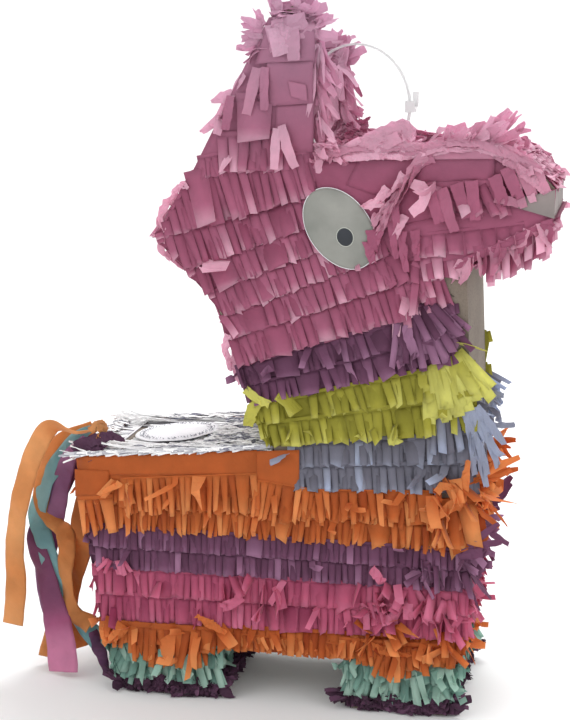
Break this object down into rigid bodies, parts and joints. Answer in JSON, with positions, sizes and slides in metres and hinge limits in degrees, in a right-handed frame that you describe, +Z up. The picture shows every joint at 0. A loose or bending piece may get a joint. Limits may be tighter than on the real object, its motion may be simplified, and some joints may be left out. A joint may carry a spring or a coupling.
{
  "type": "donkey pinata",
  "caption": "Free-standing donkey-shaped party pinata: a cardboard box body covered in bands of cut tissue fringe, with ears, a streamer tail, a filling flap on its back and a hanging loop.",
  "frame": {"origin": "on the floor, in the middle of the whole object's bounding box", "axes": "+X forward towards the nose, +Y the animal's left, +Z up"},
  "size_m": [0.3548, 0.1068, 0.437],
  "materials": {
    "cardboard": "matte",
    "dark_paper": "matte",
    "grey_paper": "matte",
    "hot_glue": "satin",
    "label_paper": "matte",
    "nylon": "satin",
    "tissue_grey": "matte",
    "tissue_lime": "matte",
    "tissue_orange": "matte",
    "tissue_pink": "matte",
    "tissue_plum": "matte",
    "tissue_purple": "matte",
    "tissue_rose": "matte",
    "tissue_silver": "matte",
    "tissue_teal": "matte"
  },
  "bodies": {
    "shell": {"back_strip": "cardboard", "belly_strip": "cardboard", "chest_hem_fringe": "tissue_orange", "chest_orange_fringe": "tissue_orange", "chest_pink_fringe": "tissue_rose", "chest_purple_fringe": "tissue_purple", "chest_strip": "cardboard", "crown_fringe": "tissue_pink", "crown_strip": "cardboard", "feet_plum_fringe": "tissue_plum", "feet_teal_fringe": "tissue_teal", "front_foot_strip": "cardboard", "glue_beads": "hot_glue", "head_back_strip": "cardboard", "jaw_fringe": "tissue_pink", "jaw_strip": "cardboard", "left_ear_fringe": "tissue_pink", "left_eye": "grey_paper", "left_head_fringe": "tissue_pink", "left_hem_fringe": "tissue_orange", "left_orange_fringe": "tissue_orange", "left_pink_fringe": "tissue_rose", "left_pupil": "dark_paper", "left_purple_fringe": "tissue_purple", "left_side_panel": "cardboard", "mouth_paper": "grey_paper", "muzzle_top_fringe": "tissue_pink", "muzzle_top_strip": "cardboard", "nape_fringe": "tissue_pink", "neck_back_strip": "cardboard", "neck_front_strip": "cardboard", "neck_grey_fringe": "tissue_grey", "neck_lime_fringe": "tissue_lime", "neck_purple_fringe": "tissue_purple", "nose_strip": "cardboard", "rear_foot_strip": "cardboard", "right_ear_fringe": "tissue_pink", "right_eye": "grey_paper", "right_head_fringe": "tissue_pink", "right_hem_fringe": "tissue_orange", "right_orange_fringe": "tissue_orange", "right_pink_fringe": "tissue_rose", "right_pupil": "dark_paper", "right_purple_fringe": "tissue_purple", "right_side_panel": "cardboard", "rump_hem_fringe": "tissue_orange", "rump_orange_fringe": "tissue_orange", "rump_pink_fringe": "tissue_rose", "rump_purple_fringe": "tissue_purple", "rump_strip": "cardboard", "saddle_fringe": "tissue_silver"},
    "flap": {"fill_flap": "cardboard", "flap_fringe": "tissue_silver", "fill_label": "label_paper"},
    "hanger": {"hanger_loop": "nylon"},
    "tail": {"tail_orange_long": "tissue_orange", "tail_orange_short": "tissue_orange", "tail_pink": "tissue_pink", "tail_purple": "tissue_purple", "tail_teal": "tissue_teal"}
  },
  "joints": [
    {"name": "flap_crease", "type": "hinge", "parent": "shell", "child": "flap", "pos_m": [-0.10007, 0, 0.15571], "axis": [0, -1, 0], "range_deg": [0, 110]},
    {"name": "loop_swing", "type": "hinge", "parent": "shell", "child": "hanger", "pos_m": [0.0494, 0, 0.3443], "axis": [1, 0, 0], "range_deg": [-28, 28]},
    {"name": "tail_swing", "type": "hinge", "parent": "shell", "child": "tail", "pos_m": [-0.12, 0, 0.156], "axis": [0, 1, 0], "range_deg": [0, 75]}
  ]
}
